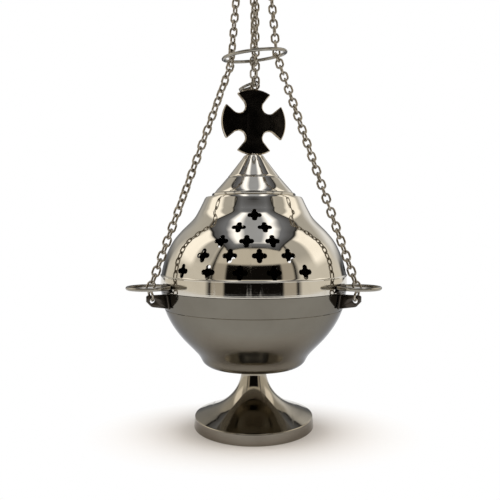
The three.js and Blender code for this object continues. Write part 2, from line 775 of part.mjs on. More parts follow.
function earBlank() {
  const half = guideRing.earWidth / 2;
  const topHalf = guideRing.earTopWidth / 2;
  const outline = new THREE.Shape([
    new THREE.Vector2(-half, earBottom),
    new THREE.Vector2(half, earBottom),
    new THREE.Vector2(half, earBottom + guideRing.earTip),
    new THREE.Vector2(topHalf, earTop),
    new THREE.Vector2(-topHalf, earTop),
    new THREE.Vector2(-half, earBottom + guideRing.earTip),
  ]);
  const blank = new THREE.ExtrudeGeometry(outline, { depth: guideRing.radius, bevelEnabled: false });
  blank.rotateX(Math.PI / 2).rotateZ(Math.PI / 2);
  return toSolid(blank.translate(guideReach - guideRing.radius, 0, 0));
}

function guideRingSolid(azimuth) {
  const ring = tubeRing(guideRing.radius, guideRing.wire, guideRing.segments, 6);
  ring.translate(guideReach, 0, guideHeight);
  const solid = toSolid(ring).subtract(lidBlank).add(earBlank().intersect(earSleeve));
  return fromSolid(solid).rotateZ(azimuth);
}

chain.names.forEach((name, i) => {
  addPiece(`chain_lug_${name}`, lugSolid(chainAzimuths[i]), darkNickel);
  addPiece(`guide_ring_${name}`, guideRingSolid(chainAzimuths[i]), nickel);
});

// Gathering ring: loose round the three chains, hanging tilted where they spread.
const gatheringRadius = chain.gatherRadius + linkReach + gatheringRing.play + gatheringRing.wire / 2;
const gathering = tubeRing(gatheringRadius, gatheringRing.wire, gatheringRing.segments, 6);
gathering.rotateY(-gatheringRing.roll).rotateX(gatheringRing.pitch);
gathering.translate(gatheringRing.sideways, 0, crossTop + gatheringRing.aboveCross);
addPiece('gathering_ring', gathering, nickel);

// The origin lies under the middle of the whole object, so the axis stands in front of it.
const backReach = guideReach + guideRing.radius + guideRing.wire / 2;
censer.position.y = -(backReach - lidBottomRadius) / 2;

export default censer;
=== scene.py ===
# %% [markdown]
# # A church censer, dressed for its picture
# The censer is spun from thin brass and nickel plated: a foot, a bowl, a pierced lid with a cone cap and a cross,
# and chains that carry it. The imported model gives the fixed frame, in metres. This lesson adds the round, smooth
# pieces that stand for its faceted solids, one cell at a time. Lengths are written in millimetres, and MM turns
# them into metres. AXIS is the line that all the spun pieces share, WALL is the thickness of their sheet, and ARMS
# are the three directions in which the outer chains stand.

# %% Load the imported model
import math

import bpy
from mathutils import Matrix, Vector


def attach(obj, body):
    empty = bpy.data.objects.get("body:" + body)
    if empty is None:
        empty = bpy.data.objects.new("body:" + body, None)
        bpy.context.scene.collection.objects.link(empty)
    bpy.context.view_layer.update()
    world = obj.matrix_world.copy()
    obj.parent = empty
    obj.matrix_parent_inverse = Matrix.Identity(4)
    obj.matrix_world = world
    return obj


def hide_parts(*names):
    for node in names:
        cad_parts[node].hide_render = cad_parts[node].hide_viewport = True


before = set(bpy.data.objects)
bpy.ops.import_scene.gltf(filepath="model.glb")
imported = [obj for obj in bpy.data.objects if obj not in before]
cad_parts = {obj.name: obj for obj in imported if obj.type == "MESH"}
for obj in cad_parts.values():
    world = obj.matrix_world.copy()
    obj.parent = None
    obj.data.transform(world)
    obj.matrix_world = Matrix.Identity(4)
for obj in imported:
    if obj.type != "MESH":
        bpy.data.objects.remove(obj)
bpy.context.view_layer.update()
MM = 0.001
AXIS = Vector((0.0, -0.011125, 0.0))
WALL = 1.2
ARMS = [(name, math.radians(210 + 120 * index)) for index, name in enumerate(["left", "right", "back"])]
ORIGIN = Vector((0, 0, 0))

# %% [markdown]
# Blender's operators act on everything that is selected, and the loaded nodes are all selected. So every piece
# starts by dropping the selection. A piece is finished when its place is in its mesh and its object sits at the
# origin, as the loaded nodes do.

# %% Selecting, finishing and applying
def select_only(*objects):
    if bpy.context.object and bpy.context.object.mode != "OBJECT":
        bpy.ops.object.mode_set(mode="OBJECT")
    bpy.ops.object.select_all(action="DESELECT")
    for obj in objects:
        obj.select_set(True)
    bpy.context.view_layer.objects.active = objects[0] if objects else None


def edit(obj):
    select_only(obj)
    bpy.ops.object.mode_set(mode="EDIT")
    bpy.ops.mesh.select_mode(type="VERT")
    bpy.ops.mesh.select_all(action="SELECT")


def pick(obj, wanted):
    """Selects the vertices for which wanted(place) is true, and stays in edit mode."""
    edit(obj)
    bpy.ops.mesh.select_all(action="DESELECT")
    bpy.ops.object.mode_set(mode="OBJECT")
    for vertex in obj.data.vertices:
        vertex.select = wanted(vertex.co)
    bpy.ops.object.mode_set(mode="EDIT")


def modify(obj, kind, **settings):
    """Adds one modifier and applies it at once."""
    select_only(obj)
    modifier = obj.modifiers.new(kind.title(), kind)
    for key, value in settings.items():
        setattr(modifier, key, value)
    bpy.ops.object.modifier_apply(modifier=modifier.name)


def settle(obj, matrix=Matrix.Identity(4), smooth=35):
    """Puts the object's place into its mesh and shades it smooth, but for corners sharper than the angle."""
    obj.data.transform(matrix @ obj.matrix_world)
    obj.matrix_world = Matrix.Identity(4)
    if matrix.determinant() < 0:
        obj.data.flip_normals()
    select_only(obj)
    bpy.ops.object.shade_smooth_by_angle(angle=math.radians(smooth))
    return obj


def join(name, objects):
    select_only(*objects)
    if len(objects) > 1:
        bpy.ops.object.join()
    objects[0].name = name
    return objects[0]


def copy_of(obj, matrix):
    """A copy with a mesh of its own, laid down by a matrix."""
    twin = obj.copy()
    twin.data = obj.data.copy()
    bpy.context.collection.objects.link(twin)
    twin.data.transform(matrix)
    return twin


def drop(*objects):
    for obj in objects:
        bpy.data.objects.remove(obj)


def tell(what, *pieces):
    print(what, [len(piece.data.polygons) for piece in pieces], "faces")


def off_axis(x, y, z):
    """A place in metres, from millimetres measured from the axis and the ground."""
    return AXIS + Vector((x, y, z)) * MM


def axes(x, y, z):
    """The turn that lays X, Y and Z along three directions."""
    return Matrix((x, y, z)).transposed().to_4x4()


def rod(radius, depth, place=ORIGIN, turn=(0, 0, 0), vertices=32):
    """A plain cylinder, mostly made to be a drill or a cutter. Its place is in metres."""
    select_only()
    bpy.ops.mesh.primitive_cylinder_add(vertices=vertices, radius=radius * MM, depth=depth * MM, rotation=turn,
                                        location=place)
    return bpy.context.object


def cut(obj, tool):
    """Takes the tool's shape out of the object, and puts the tool away."""
    modify(obj, "BOOLEAN", operation="DIFFERENCE", object=tool, solver="EXACT")
    drop(tool)


# %% [markdown]
# Spun metal is a flat blank pressed over a turning form, so every section through it is the same. The outline is
# drawn in millimetres as (radius, height). Its smooth parts are curves through a few measured points.

# %% Smooth curves
def spline(pairs, steps):
    """Points and unit tangents along the curve through all the pairs."""
    last = len(pairs) - 1
    result = []
    for i in range(steps + 1):
        place = last * i / steps
        k = min(int(place), last - 1) if i == steps else int(place)
        t = place - k
        p = [Vector(pairs[max(0, min(last, k + j))]) for j in (-1, 0, 1, 2)]
        v0, v1 = (p[2] - p[0]) / 2, (p[3] - p[1]) / 2
        a, b = 2 * p[1] - 2 * p[2] + v0 + v1, -3 * p[1] + 3 * p[2] - 2 * v0 - v1
        point = a * t**3 + b * t**2 + v0 * t + p[1]
        slope = 3 * a * t**2 + 2 * b * t + v0
        result.append((point, slope.normalized()))
    return result


def outline(curve, inset=0.0):
    """The curve's points, moved inwards by inset square to the curve."""
    return [point + Vector((-slope.y, slope.x)) * inset for point, slope in curve]


def scored(points, height, depth=0.25, width=0.5):
    """Lets a turned line into a rising outline at one height."""
    below = [p for p in points if p[1] < height - width]
    above = [p for p in points if p[1] > height + width]
    low, high = Vector(below[-1]), Vector(above[0])
    at = lambda z: low.lerp(high, (z - low.y) / (high.y - low.y))
    middle = at(height) - Vector((depth, 0))
    return below + [at(height - width / 2), middle, at(height + width / 2)] + above


# %% [markdown]
# One vertex is extruded from point to point of the outline, and the outline is spun round the axis. That is the
# lathe of Blender: extrude, spin, merge the seam. The spin can turn a shape inside out, so its normals are made
# to agree afterwards.

# %% The lathe
def draw(points, place=AXIS, closed=True):
    """Extrudes one vertex along (radius, height) points, in the plane of X and Z."""
    select_only()
    bpy.ops.mesh.primitive_plane_add(size=MM, location=(0, 0, 0))
    obj = bpy.context.object
    edit(obj)
    bpy.ops.mesh.merge(type="CENTER")
    here = Vector((points[0][0], 0, points[0][1]))
    bpy.ops.transform.translate(value=here * MM + place)
    for point in list(points[1:]) + ([points[0]] if closed else []):
        there = Vector((point[0], 0, point[1]))
        bpy.ops.mesh.extrude_vertices_move(TRANSFORM_OT_translate={"value": (there - here) * MM})
        here = there
    bpy.ops.mesh.select_all(action="SELECT")
    bpy.ops.mesh.remove_doubles(threshold=1e-7)
    return obj


def tidy_shell():
    bpy.ops.mesh.select_all(action="SELECT")
    bpy.ops.mesh.remove_doubles(threshold=1e-6)
    bpy.ops.mesh.normals_make_consistent(inside=False)
    bpy.ops.object.mode_set(mode="OBJECT")


def turned(name, points, steps=192, place=AXIS):
    """A piece turned on the lathe from a closed outline."""
    obj = draw(points, place)
    bpy.ops.mesh.spin(steps=steps, angle=2 * math.pi, center=place, axis=(0, 0, 1))
    tidy_shell()
    obj.name = name
    tell(name, obj)
    return obj


def soften(obj, width=0.15, segments=2, angle=38):
    """Rounds the corners, as polishing does, so that they catch the light."""
    modify(obj, "BEVEL", width=width * MM, segments=segments, limit_method="ANGLE",
           angle_limit=math.radians(angle), use_clamp_overlap=True)
    return obj


# %% [markdown]
# The foot is a trumpet with an upright band at its rim, and its flare runs straight down to the crease above that
# band. Points set close to a corner keep its rounding narrow and the faces beside it flat, which a mirror needs.
# The foot is open underneath, and a small plate closes the neck so that a bolt can hold the bowl.

# %% Foot
BOLT_HOLE = 3.3
foot_curve = spline([(34.6, 6.55), (30.18, 8.3), (25.75, 10.01), (21.43, 12), (17.38, 14.5), (13.8, 17.62),
                     (10.87, 21.36), (8.74, 25.64), (7.52, 30.27), (7.2, 35)], 54)
foot_outline = [(32.7, 0), (35.3, 0), (35.5, 0.3), (35.46, 0.7), (35.05, 5.8), (35.02, 6.2), (34.85, 6.42)]
foot_outline += outline(foot_curve) + [(7.2, 36.7), (BOLT_HOLE, 36.7), (BOLT_HOLE, 34.7), (6.0, 34.7)]
foot_inside = [p for p in reversed(outline(foot_curve, WALL)) if p.y < 33.7 and p.x < 32.4]
foot_outline += foot_inside + [(32.7, 5.9)]
foot = settle(soften(turned("foot_spinning", foot_outline), 0.12))

# %% [markdown]
# The bowl is one spinning too: a flat floor, a bulging side and a ledge on which the lid sits. A thin scored line
# runs round it under the rim. The short collar above the ledge keeps the lid in its place.

# %% Bowl
BOWL_SIDE = [(28.3, 37), (30.4, 38.8), (33.7, 44), (43, 53.9), (49.1, 62.5), (53, 71.3), (54.8, 80.4)]
COLLAR_OUT, COLLAR_IN = 53.8, 52.8
bowl_curve = spline(BOWL_SIDE, 60)
bowl_outline = [(BOLT_HOLE, 37), *scored(outline(bowl_curve), 70.7), (55, 81.3), (COLLAR_OUT, 81.3)]
bowl_inside = [p for p in reversed(outline(bowl_curve, WALL)) if p.x < COLLAR_IN]
bowl_outline += [(COLLAR_OUT, 85), (COLLAR_IN, 85), (COLLAR_IN, bowl_inside[0].y + 1.5), *bowl_inside[:-1]]
bowl_outline += [(27.7, 38.2), (BOLT_HOLE, 38.2)]
bowl = settle(soften(turned("bowl_spinning", bowl_outline, 224), 0.12))

# %% [markdown]
# The lid swells like a bell above a straight band, with a thin bead between them. It is spun first and pierced
# afterwards. The shell has many faces, because a mirror shows every facet.

# %% Lid shell
LID_SIDE = [(54.9, 90), (52.4, 99.8), (48.4, 108.7), (43.4, 115.2), (35.8, 122.9), (32.5, 128.3), (29.3, 134.9)]
lid_curve = spline(LID_SIDE, 66)
lid_band = [(54.2, 81.6), (55.25, 81.6), (55.4, 81.8), (55.39, 82.2), (55.12, 89.2)]
lid_bead = [(55.1, 89.5), (55.28, 89.75), (55.25, 90.1), (54.85, 90.4)]
lid_outline = lid_band + lid_bead
lid_outline += [*outline(lid_curve)[1:], (28.6, 135.8), (27.6, 136)]
lid_outline += [(21, 136), (21, 134.8), (27, 134.8), *list(reversed(outline(lid_curve, WALL)))[1:-1], (53.7, 90)]
dome = turned("lid_spinning", lid_outline, 256)

# %% [markdown]
# A piercing is a quatrefoil: four round lobes about a middle. One punch is made by uniting four rods with a square
# peg. It is laid down once for every hole, square to the wall there, and all the punches leave the shell in one
# boolean cut. Each row of holes is given by its count, its height, and the spacing and the offset of its holes
# round the lid in degrees.

# %% Quatrefoil punch
def quatrefoil(lobe_radius=1.45, reach=2.5, side=4.8, depth=8.0):
    select_only()
    bpy.ops.mesh.primitive_cube_add(size=1, scale=(side * MM, side * MM, depth * MM), rotation=(0, 0, math.pi / 4))
    peg = bpy.context.object
    for lobe in range(4):
        angle = lobe * math.pi / 2
        place = (math.cos(angle) * reach * MM, math.sin(angle) * reach * MM, 0)
        lobe_tool = rod(lobe_radius, depth, place, vertices=24)
        modify(peg, "BOOLEAN", operation="UNION", object=lobe_tool, solver="EXACT")
        drop(lobe_tool)
    peg.data.transform(peg.matrix_world)
    peg.matrix_world = Matrix.Identity(4)
    return peg


punch = quatrefoil()
tell("punch", punch)

# %% Where the piercings go
PIERCING_ROWS = [(1, 124.2, 0, 0.7), (2, 117.6, 19.3, -1.5), (3, 110.4, 16.4, -4.5), (4, 102.9, 17.1, -5.3),
                 (5, 94.4, 18.5, -7.4)]
fine_wall = spline(LID_SIDE, 900)


def piercing_places():
    places = []
    for group in range(3):
        for count, height, spacing, offset in PIERCING_ROWS:
            point, slope = min(fine_wall, key=lambda pair: abs(pair[0].y - height))
            for i in range(count):
                angle = math.radians(offset + (i - (count - 1) / 2) * spacing + group * 120 - 90)
                out = Vector((math.cos(angle) * slope.y, math.sin(angle) * slope.y, -slope.x))
                side = Vector((-math.sin(angle), math.cos(angle), 0))
                at = off_axis(math.cos(angle) * point.x, math.sin(angle) * point.x, height)
                places.append(Matrix.Translation(at) @ axes(side, out.cross(side), out))
    return places


places = piercing_places()
print(len(places), "piercings")

# %% Pierce the lid
cut(dome, join("piercing_tools", [copy_of(punch, place) for place in places]))
drop(punch)
settle(dome, smooth=30)
tell("pierced lid", dome)

# %% [markdown]
# The cone cap stands on the lid's ledge with a thin flange, and a groove is turned into it half way up. Its top
# ends in a small flat that carries the cross, with a hole for the cross's stem.

# %% Cone cap
STEM_HOLE = 2.7
cone_curve = spline([(23.5, 138.3), (22, 140.4), (15.8, 147.6), (7.5, 158.4), (6, 160.6)], 32)
cone_outline = [(21, 136.3), (24.8, 136.3), (25, 136.6), (25, 137.7), (24.6, 138.1)]
cone_outline += scored(outline(cone_curve), 147.6, 0.35, 0.8)
cone_outline += [(5.6, 160.9), (STEM_HOLE, 160.9), (STEM_HOLE, 159.4), (4.8, 159.4)]
cone_outline += list(reversed(outline(cone_curve, WALL)))[1:]
cone = settle(soften(turned("cone_cap", cone_outline, 160), 0.12))

# %% [markdown]
# The cross is sawn from thick plate: a disc with four round-bottomed notches, whose edges are filed to a bevel.
# It is turned a little from the camera. Its outline is drawn point by point, filled and given its thickness. Its
# stem goes down through the cone, and a small eye on top takes the split ring of the lid's chain.

# %% Cross plate
CROSS_CENTRE = 180.9
CROSS_TURN = math.radians(14)
cross_place = Matrix.Translation(off_axis(0, 0, CROSS_CENTRE)) @ Matrix.Rotation(CROSS_TURN, 4, "Z")
upright = Matrix.Rotation(math.pi / 2, 4, "X")


def arc(radius, start, end, steps, centre=(0.0, 0.0)):
    angles = [start + (end - start) * i / steps for i in range(steps + 1)]
    return [(centre[0] + math.cos(a) * radius, centre[1] + math.sin(a) * radius) for a in angles]


def flat_plate(points, thick):
    """A plate in the plane of X and Z: its outline is drawn, filled and pulled out to its thickness."""
    obj = draw(points, Vector((0, -thick / 2 * MM, 0)))
    bpy.ops.mesh.edge_face_add()
    bpy.ops.mesh.extrude_region_move(TRANSFORM_OT_translate={"value": (0, thick * MM, 0)})
    tidy_shell()
    return obj


def cross_plate(radius=19.8, notch=4.1, reach=13.3, mouth=9.3, thick=2.4):
    """A disc with its middle at the origin. The notches' round ends are centred at the reach."""
    mouth_half = math.asin(mouth / 2 / radius)
    points = []
    for arm in range(4):
        middle = math.radians(45 + 90 * arm)
        points += arc(radius, middle - math.pi / 2 + mouth_half, middle - mouth_half, 26)
        points += arc(notch, middle - math.pi / 2, middle - 1.5 * math.pi, 22,
                      (math.cos(middle) * reach, math.sin(middle) * reach))
    return soften(flat_plate(points, thick), 0.55, 1, 60)


plate = cross_plate()

# %% Cross stem and eye
def wire_ring(radius, wire, steps=64, sides=14, lump=0.0):
    """A ring of round wire in the plane of X and Y. A lump marks where its ends were brazed."""
    select_only()
    bpy.ops.mesh.primitive_circle_add(vertices=sides, radius=wire / 2 * MM, location=(radius * MM, 0, 0),
                                      rotation=(math.pi / 2, 0, 0))
    obj = bpy.context.object
    edit(obj)
    bpy.ops.mesh.spin(steps=steps, angle=2 * math.pi, center=(0, 0, 0), axis=(0, 0, 1))
    tidy_shell()
    obj.data.transform(obj.matrix_world)
    obj.matrix_world = Matrix.Identity(4)
    if lump:
        pick(obj, lambda co: co.x < 0 and abs(co.y) < radius * MM * 0.09)
        bpy.ops.transform.shrink_fatten(value=lump * MM)
        bpy.ops.object.mode_set(mode="OBJECT")
    return obj


stem = turned("stem", [(0, -28.8), (2.4, -28.8), (2.4, -20), (3.4, -19.9), (3.6, -19.55), (3.4, -19.2), (2.2, -19),
                       (0, -19)], 48, ORIGIN)
EYE_ASIDE, EYE_UP = 0.8, 22.35
eye = wire_ring(2.5, 1.1, 40, 12)
eye.data.transform(Matrix.Translation((EYE_ASIDE * MM, 0, EYE_UP * MM)) @ upright)
cross = settle(join("cross_plate", [plate, stem, eye]), cross_place, 30)
tell("cross", cross)

# %% [markdown]
# The split ring is two close turns of flat wire, like a key ring. A Screw modifier winds the wire's section
# twice round and climbs a little more than one wire's width at each turn. The ring leans to the left, as it
# hangs in the photograph.

# %% Split ring
SPLIT_RADIUS = 5.2
SPLIT_CLIMB = 0.8


def coil(radius=SPLIT_RADIUS, thick=0.9, width=0.72, climb=SPLIT_CLIMB, turns=2, steps=64):
    half, deep = width / 2 * MM, thick / 2 * MM
    select_only()
    bpy.ops.mesh.primitive_plane_add(size=1)
    obj = bpy.context.object
    obj.data.transform(Matrix.Translation((radius * MM, 0, 0)) @ Matrix.Rotation(math.pi / 2, 4, "X")
                       @ Matrix.Diagonal((2 * deep, 2 * half, 1, 1)))
    modify(obj, "BEVEL", affect="VERTICES", width=0.15 * MM, segments=2)
    edit(obj)
    bpy.ops.mesh.delete(type="ONLY_FACE")
    bpy.ops.object.mode_set(mode="OBJECT")
    modify(obj, "SCREW", axis="Z", angle=2 * math.pi, screw_offset=climb * MM, iterations=turns, steps=steps,
           render_steps=steps, use_merge_vertices=True, merge_threshold=1e-6)
    edit(obj)
    bpy.ops.mesh.select_all(action="DESELECT")
    bpy.ops.mesh.select_mode(type="EDGE")
    bpy.ops.mesh.select_non_manifold()
    bpy.ops.mesh.edge_face_add()
    tidy_shell()
    obj.data.transform(Matrix.Translation((0, 0, -climb * MM * turns / 2)))
    return obj


lean = math.radians(22)
ring_across = Vector((math.cos(lean), 0, math.sin(lean)))
ring_through = Vector((0, 1, 0))
in_the_eye = Vector((1.2, 0, EYE_UP + 0.8))
ring_centre = in_the_eye - ring_across * SPLIT_RADIUS
ring_basis = axes(ring_across, ring_through, ring_across.cross(ring_through))
ring_place = cross_place @ Matrix.Translation(ring_centre * MM) @ ring_basis
split_ring = settle(coil(), ring_place, 40)
split_ring.name = "split_ring"
tell("split ring", split_ring)

# %% [markdown]
# The chains are made of small oval links of round wire, each a quarter turn on from the last. One link starts as
# a torus: its upper half is moved up and its lower half down, which leaves two straight sides between the bends.
# BEND is the radius of those bends at the wire's middle, and BITE lets neighbouring links just touch.

# %% One link
CHAIN_WIRE = 1.25
BEND = 2.02
BITE = 0.06


def link_mesh(pitch, bends=18, sides=8):
    """A link standing along Z and flat in the plane of X and Z, whose lowest wire lies at the origin."""
    select_only()
    bpy.ops.mesh.primitive_torus_add(major_radius=BEND * MM, minor_radius=CHAIN_WIRE / 2 * MM,
                                     major_segments=bends, minor_segments=sides, rotation=(0, 0, math.pi / bends))
    link = bpy.context.object
    link.data.transform(upright @ link.matrix_world)
    link.matrix_world = Matrix.Identity(4)
    straight = (pitch + CHAIN_WIRE - BITE) / 2 - BEND
    for way in (1, -1):
        pick(link, lambda co: co.z * way > 0)
        bpy.ops.transform.translate(value=(0, 0, way * straight * MM))
        bpy.ops.object.mode_set(mode="OBJECT")
    link.data.transform(Matrix.Translation((0, 0, (BEND + straight) * MM)))
    return link


# %% [markdown]
# A run is a row of links along one line. Its links turn a little further towards its middle, as a hanging chain
# twists, except where the twist is set to nothing. The number of links is that of the solid's run: as many of the
# solid's links as fit, made odd or even so that the last one can take the link of the next run.

# %% A run of links
def chain_run(name, start, end, sideways, first_turn, count, twist=0.75):
    """Links from the centre of the first wire at start to the centre of the last wire at end, in millimetres."""
    length = (end - start).length
    pitch = (length - CHAIN_WIRE + BITE) / count
    along = (end - start).normalized()
    flat = (sideways - along * sideways.dot(along)).normalized()
    run = Matrix.Translation(AXIS + start * MM) @ axes(flat, along.cross(flat), along)
    link = link_mesh(pitch)
    copies = []
    for k in range(count):
        slow_twist = twist * math.sin(math.pi * (k + 0.5) / count)
        turn = Matrix.Rotation(((k + first_turn) % 2) * math.pi / 2 + slow_twist, 4, "Z")
        copies.append(copy_of(link, run @ Matrix.Translation((0, 0, k * pitch * MM)) @ turn))
    drop(link)
    return settle(join(name, copies), smooth=60)


# %% Counting the links
SOLID_WIRE = 1.2
SOLID_BITE = 0.1
SOLID_PITCH = 4.4


def solid_pitches(start, end):
    return ((end - start).length - SOLID_WIRE + SOLID_BITE) / SOLID_PITCH


def link_count(start, end, first_turn, next_turn):
    """The nearest count of links after which the next run can start with a link turned its own way."""
    exact = solid_pitches(start, end)
    nearest = math.floor(exact + 0.5)
    if (nearest + first_turn - next_turn) % 2 == 0:
        return nearest
    return nearest + 1 if exact > nearest else nearest - 1


# %% [markdown]
# Three outer chains start at rings in the bowl's lugs, pass up through the guide rings of the lid, and are drawn
# together by the loose gathering ring before they reach the hand-piece. The lower run, the middle run and the top
# run of each are pieces of their own, because each moves in its own way. The lower run hangs straight, without
# the slow twist. KNEE_UP is its length. JUMP_HOOK is how far under the top of the lug's ring it starts, PLAY is the
# slack between two links that meet, and BEND_SLACK is the slack at the bend under the gathering ring.

# %% Outer chains
PLAY = 0.3
LUG_HOLE = (63.6, 77.9)
JUMP_RADIUS = 3.0
JUMP_LEAN = math.radians(14)
JUMP_HOOK = 0.85
KNEE_UP = 36
GATHER_RADIUS = 15
GATHER_HEIGHTS = (214.5, 220, 222)
BEND_SLACK = 1.4
HAND_EYE_OUT, HAND_EYE_UP = 10.8, 266.57895
HAND_EYE_RADIUS, HAND_EYE_WIRE = 2.3, 1.2
chain_pieces = {}
for (name, azimuth), gather_height in zip(ARMS, GATHER_HEIGHTS):
    outward = Vector((math.cos(azimuth), math.sin(azimuth), 0))
    across = Vector((-math.sin(azimuth), math.cos(azimuth), 0))
    at = lambda radius, height: outward * radius + Vector((0, 0, height))
    hole = at(*LUG_HOLE)
    ring_up = outward * math.sin(JUMP_LEAN) + Vector((0, 0, math.cos(JUMP_LEAN)))
    ring_top = hole + ring_up * 2 * JUMP_RADIUS
    gather = at(GATHER_RADIUS, gather_height)
    slope = (gather - ring_top).normalized()
    lower_start = ring_top - slope * JUMP_HOOK
    knee = lower_start + slope * KNEE_UP
    lower_links = link_count(lower_start, knee, 0, 0)
    lower = chain_run("lower_links_" + name, lower_start, knee, outward, 0, lower_links, twist=0)
    jump = wire_ring(JUMP_RADIUS, 1.35, 40, 10, 0.06)
    jump_basis = axes(across, ring_up, across.cross(ring_up))
    settle(jump, Matrix.Translation(AXIS + (hole + ring_top) / 2 * MM) @ jump_basis, 60)
    chain_pieces["lower_chain_" + name] = join("lower_links_" + name, [lower, jump])

    top = at(HAND_EYE_OUT, HAND_EYE_UP - HAND_EYE_RADIUS + HAND_EYE_WIRE / 2 + SOLID_WIRE / 2 + PLAY)
    bisector = (slope + (top - gather).normalized()).normalized()
    upper_start = gather - bisector * (SOLID_WIRE + BEND_SLACK)
    upper_turn = (math.floor(solid_pitches(upper_start, top) + 0.5) + 1) % 2
    upper_links = link_count(upper_start, top, upper_turn, 1)
    upper = chain_run("upper_links_" + name, upper_start, top, outward, upper_turn, upper_links)
    chain_pieces["upper_chain_" + name] = upper

    mid_start = knee - slope * (SOLID_WIRE + PLAY)
    mid_links = link_count(mid_start, gather, 0, upper_turn)
    middle = chain_run("middle_links_" + name, mid_start, gather, outward, 0, mid_links)
    chain_pieces["mid_chain_" + name] = middle
tell("runs of outer chain", *chain_pieces.values())

# %% [markdown]
# The lid's own chain rises from the split ring on the cross, through a hole in the hand-piece, to a small pull
# ring. Pulling it lifts the lid along the three outer chains. It hooks on the split ring some way round from the
# cross, and its first link is turned across the wire there.

# %% Lid chain and pull ring
LID_CHAIN_TOP = 283
PULL_RADIUS, PULL_WIRE = 8, 1.6
hook_turn = math.radians(32)
hook = ring_centre + ring_across * SPLIT_RADIUS * math.cos(hook_turn)
hook -= ring_through * SPLIT_RADIUS * math.sin(hook_turn)
hook = Matrix.Rotation(CROSS_TURN, 3, "Z") @ hook + Vector((0, 0, CROSS_CENTRE))
hook_side = Matrix.Rotation(CROSS_TURN - 0.5, 3, "Z") @ Vector((1, 0, 0))
lid_chain_start = hook - Vector((0, 0, SPLIT_CLIMB + SOLID_WIRE / 2 + PLAY))
lid_chain_end = Vector((hook.x, hook.y, LID_CHAIN_TOP))
lid_chain = chain_run("lid_links", lid_chain_start, lid_chain_end, hook_side, 0,
                      link_count(lid_chain_start, lid_chain_end, 0, 0))
pull = wire_ring(PULL_RADIUS, PULL_WIRE, 72, 14, 0.08)
pull_turn = Matrix.Rotation(math.atan2(hook_side.y, hook_side.x), 4, "Z") @ upright
pull_up = LID_CHAIN_TOP - SOLID_WIRE / 2 - PULL_WIRE / 2 - PLAY + PULL_RADIUS
pull = settle(pull, Matrix.Translation(off_axis(hook.x, hook.y, pull_up)) @ pull_turn, 60)
pull.name = "pull_ring_wire"
tell("lid chain and pull ring", lid_chain, pull)

# %% [markdown]
# The hand-piece is a small spun cap with three eyes brazed inside it for the chains. The view leaves it out of the
# picture, so its form follows other censers of this kind. A loop on its top takes the large ring that the server
# holds.

# %% Hand-piece
cap_outline = [(14.5, 264), (15.8, 264), (16, 264.3), (16, 265.6), (15.4, 266.9), (13.2, 269.6), (10.6, 271.3),
               (8.4, 272), (0, 272), (0, 270.5), (7.7, 270.5), (10.2, 269.3), (12.2, 267.4), (14.2, 265.4)]
cap = soften(turned("hand_cap", cap_outline, 96), 0.12)
cut(cap, rod(2.77, 20, off_axis(hook.x, hook.y, 270), vertices=48))
hand_eyes = []
for _, azimuth in ARMS:
    hand_eye = wire_ring(HAND_EYE_RADIUS, HAND_EYE_WIRE, 32, 10)
    centre = off_axis(math.cos(azimuth) * HAND_EYE_OUT, math.sin(azimuth) * HAND_EYE_OUT, HAND_EYE_UP)
    turn = Matrix.Rotation(azimuth + math.pi / 2, 4, "Z") @ upright
    hand_eye.data.transform(Matrix.Translation(centre) @ turn)
    hand_eyes.append(hand_eye)
cap = settle(join("hand_cap", [cap, *hand_eyes]), smooth=35)

# %% Loop and suspension ring
LOOP_BEHIND, LOOP_UP = 4.4, 275.85
CARRIER_RADIUS = 13
loop = wire_ring(2.7, 1.7, 40, 12)
loop.data.transform(Matrix.Rotation(math.pi / 2, 4, "Y"))
pad = turned("pad", [(0, -3.55), (1.9, -3.55), (1.9, -3.2), (1.3, -2.7), (0, -2.7)], 32, ORIGIN)
loop = settle(join("hand_loop_wire", [loop, pad]), Matrix.Translation(off_axis(0, LOOP_BEHIND, LOOP_UP)))
carrier = wire_ring(CARRIER_RADIUS, 2.2, 96, 16, 0.1)
carrier_place = Matrix.Translation(off_axis(0, LOOP_BEHIND, LOOP_UP + CARRIER_RADIUS))
carrier = settle(carrier, carrier_place @ upright, 60)
carrier.name = "suspension_ring_wire"
tell("loop and suspension ring", loop, carrier)

# %% [markdown]
# The gathering ring is a loose hoop of wire round all the chains. It hangs a little tilted where they spread, and
# slides up when the lid is opened wide.

# %% Gathering ring
HOOP_WIRE = 2.0
hoop_tilt = Matrix.Rotation(math.radians(8.6), 4, "X") @ Matrix.Rotation(-math.radians(6.6), 4, "Y")
hoop = wire_ring(18.85, HOOP_WIRE, 128, 14, 0.1)
hoop = settle(hoop, Matrix.Translation(off_axis(0.5, 0, 221)) @ hoop_tilt, 60)
hoop.name = "gathering_ring_wire"
tell("gathering ring", hoop)

# %% [markdown]
# Small plates hug the bowl and the lid: the saddles of the lugs and the ears of the guide rings. Each is a short
# piece of a turned band, so its section is spun through a few degrees only, and its two ends are closed.

# %% Curved plates
def band_piece(section, width, radius, steps=10):
    """A section in (radius, height) spun to the width it has at a radius, with its middle on the X axis."""
    sweep = width / radius
    obj = draw(section, ORIGIN)
    bpy.ops.mesh.edge_face_add()
    bpy.ops.mesh.spin(steps=steps, angle=sweep, center=ORIGIN, axis=(0, 0, 1))
    tidy_shell()
    obj.data.transform(Matrix.Rotation(sweep / 2, 4, "Z"))
    return obj


def round_to(azimuth):
    return Matrix.Translation(AXIS) @ Matrix.Rotation(azimuth, 4, "Z")


# %% [markdown]
# A lug is an upright plate with the chain's hole near its nose, brazed to a curved saddle under the bowl's rim.
# The saddle follows the bowl's side, a hair outside it.

# %% Chain lugs
saddle_curve = [pair for pair in spline(BOWL_SIDE, 240) if 72.8 < pair[0].y < 80.4][::4]


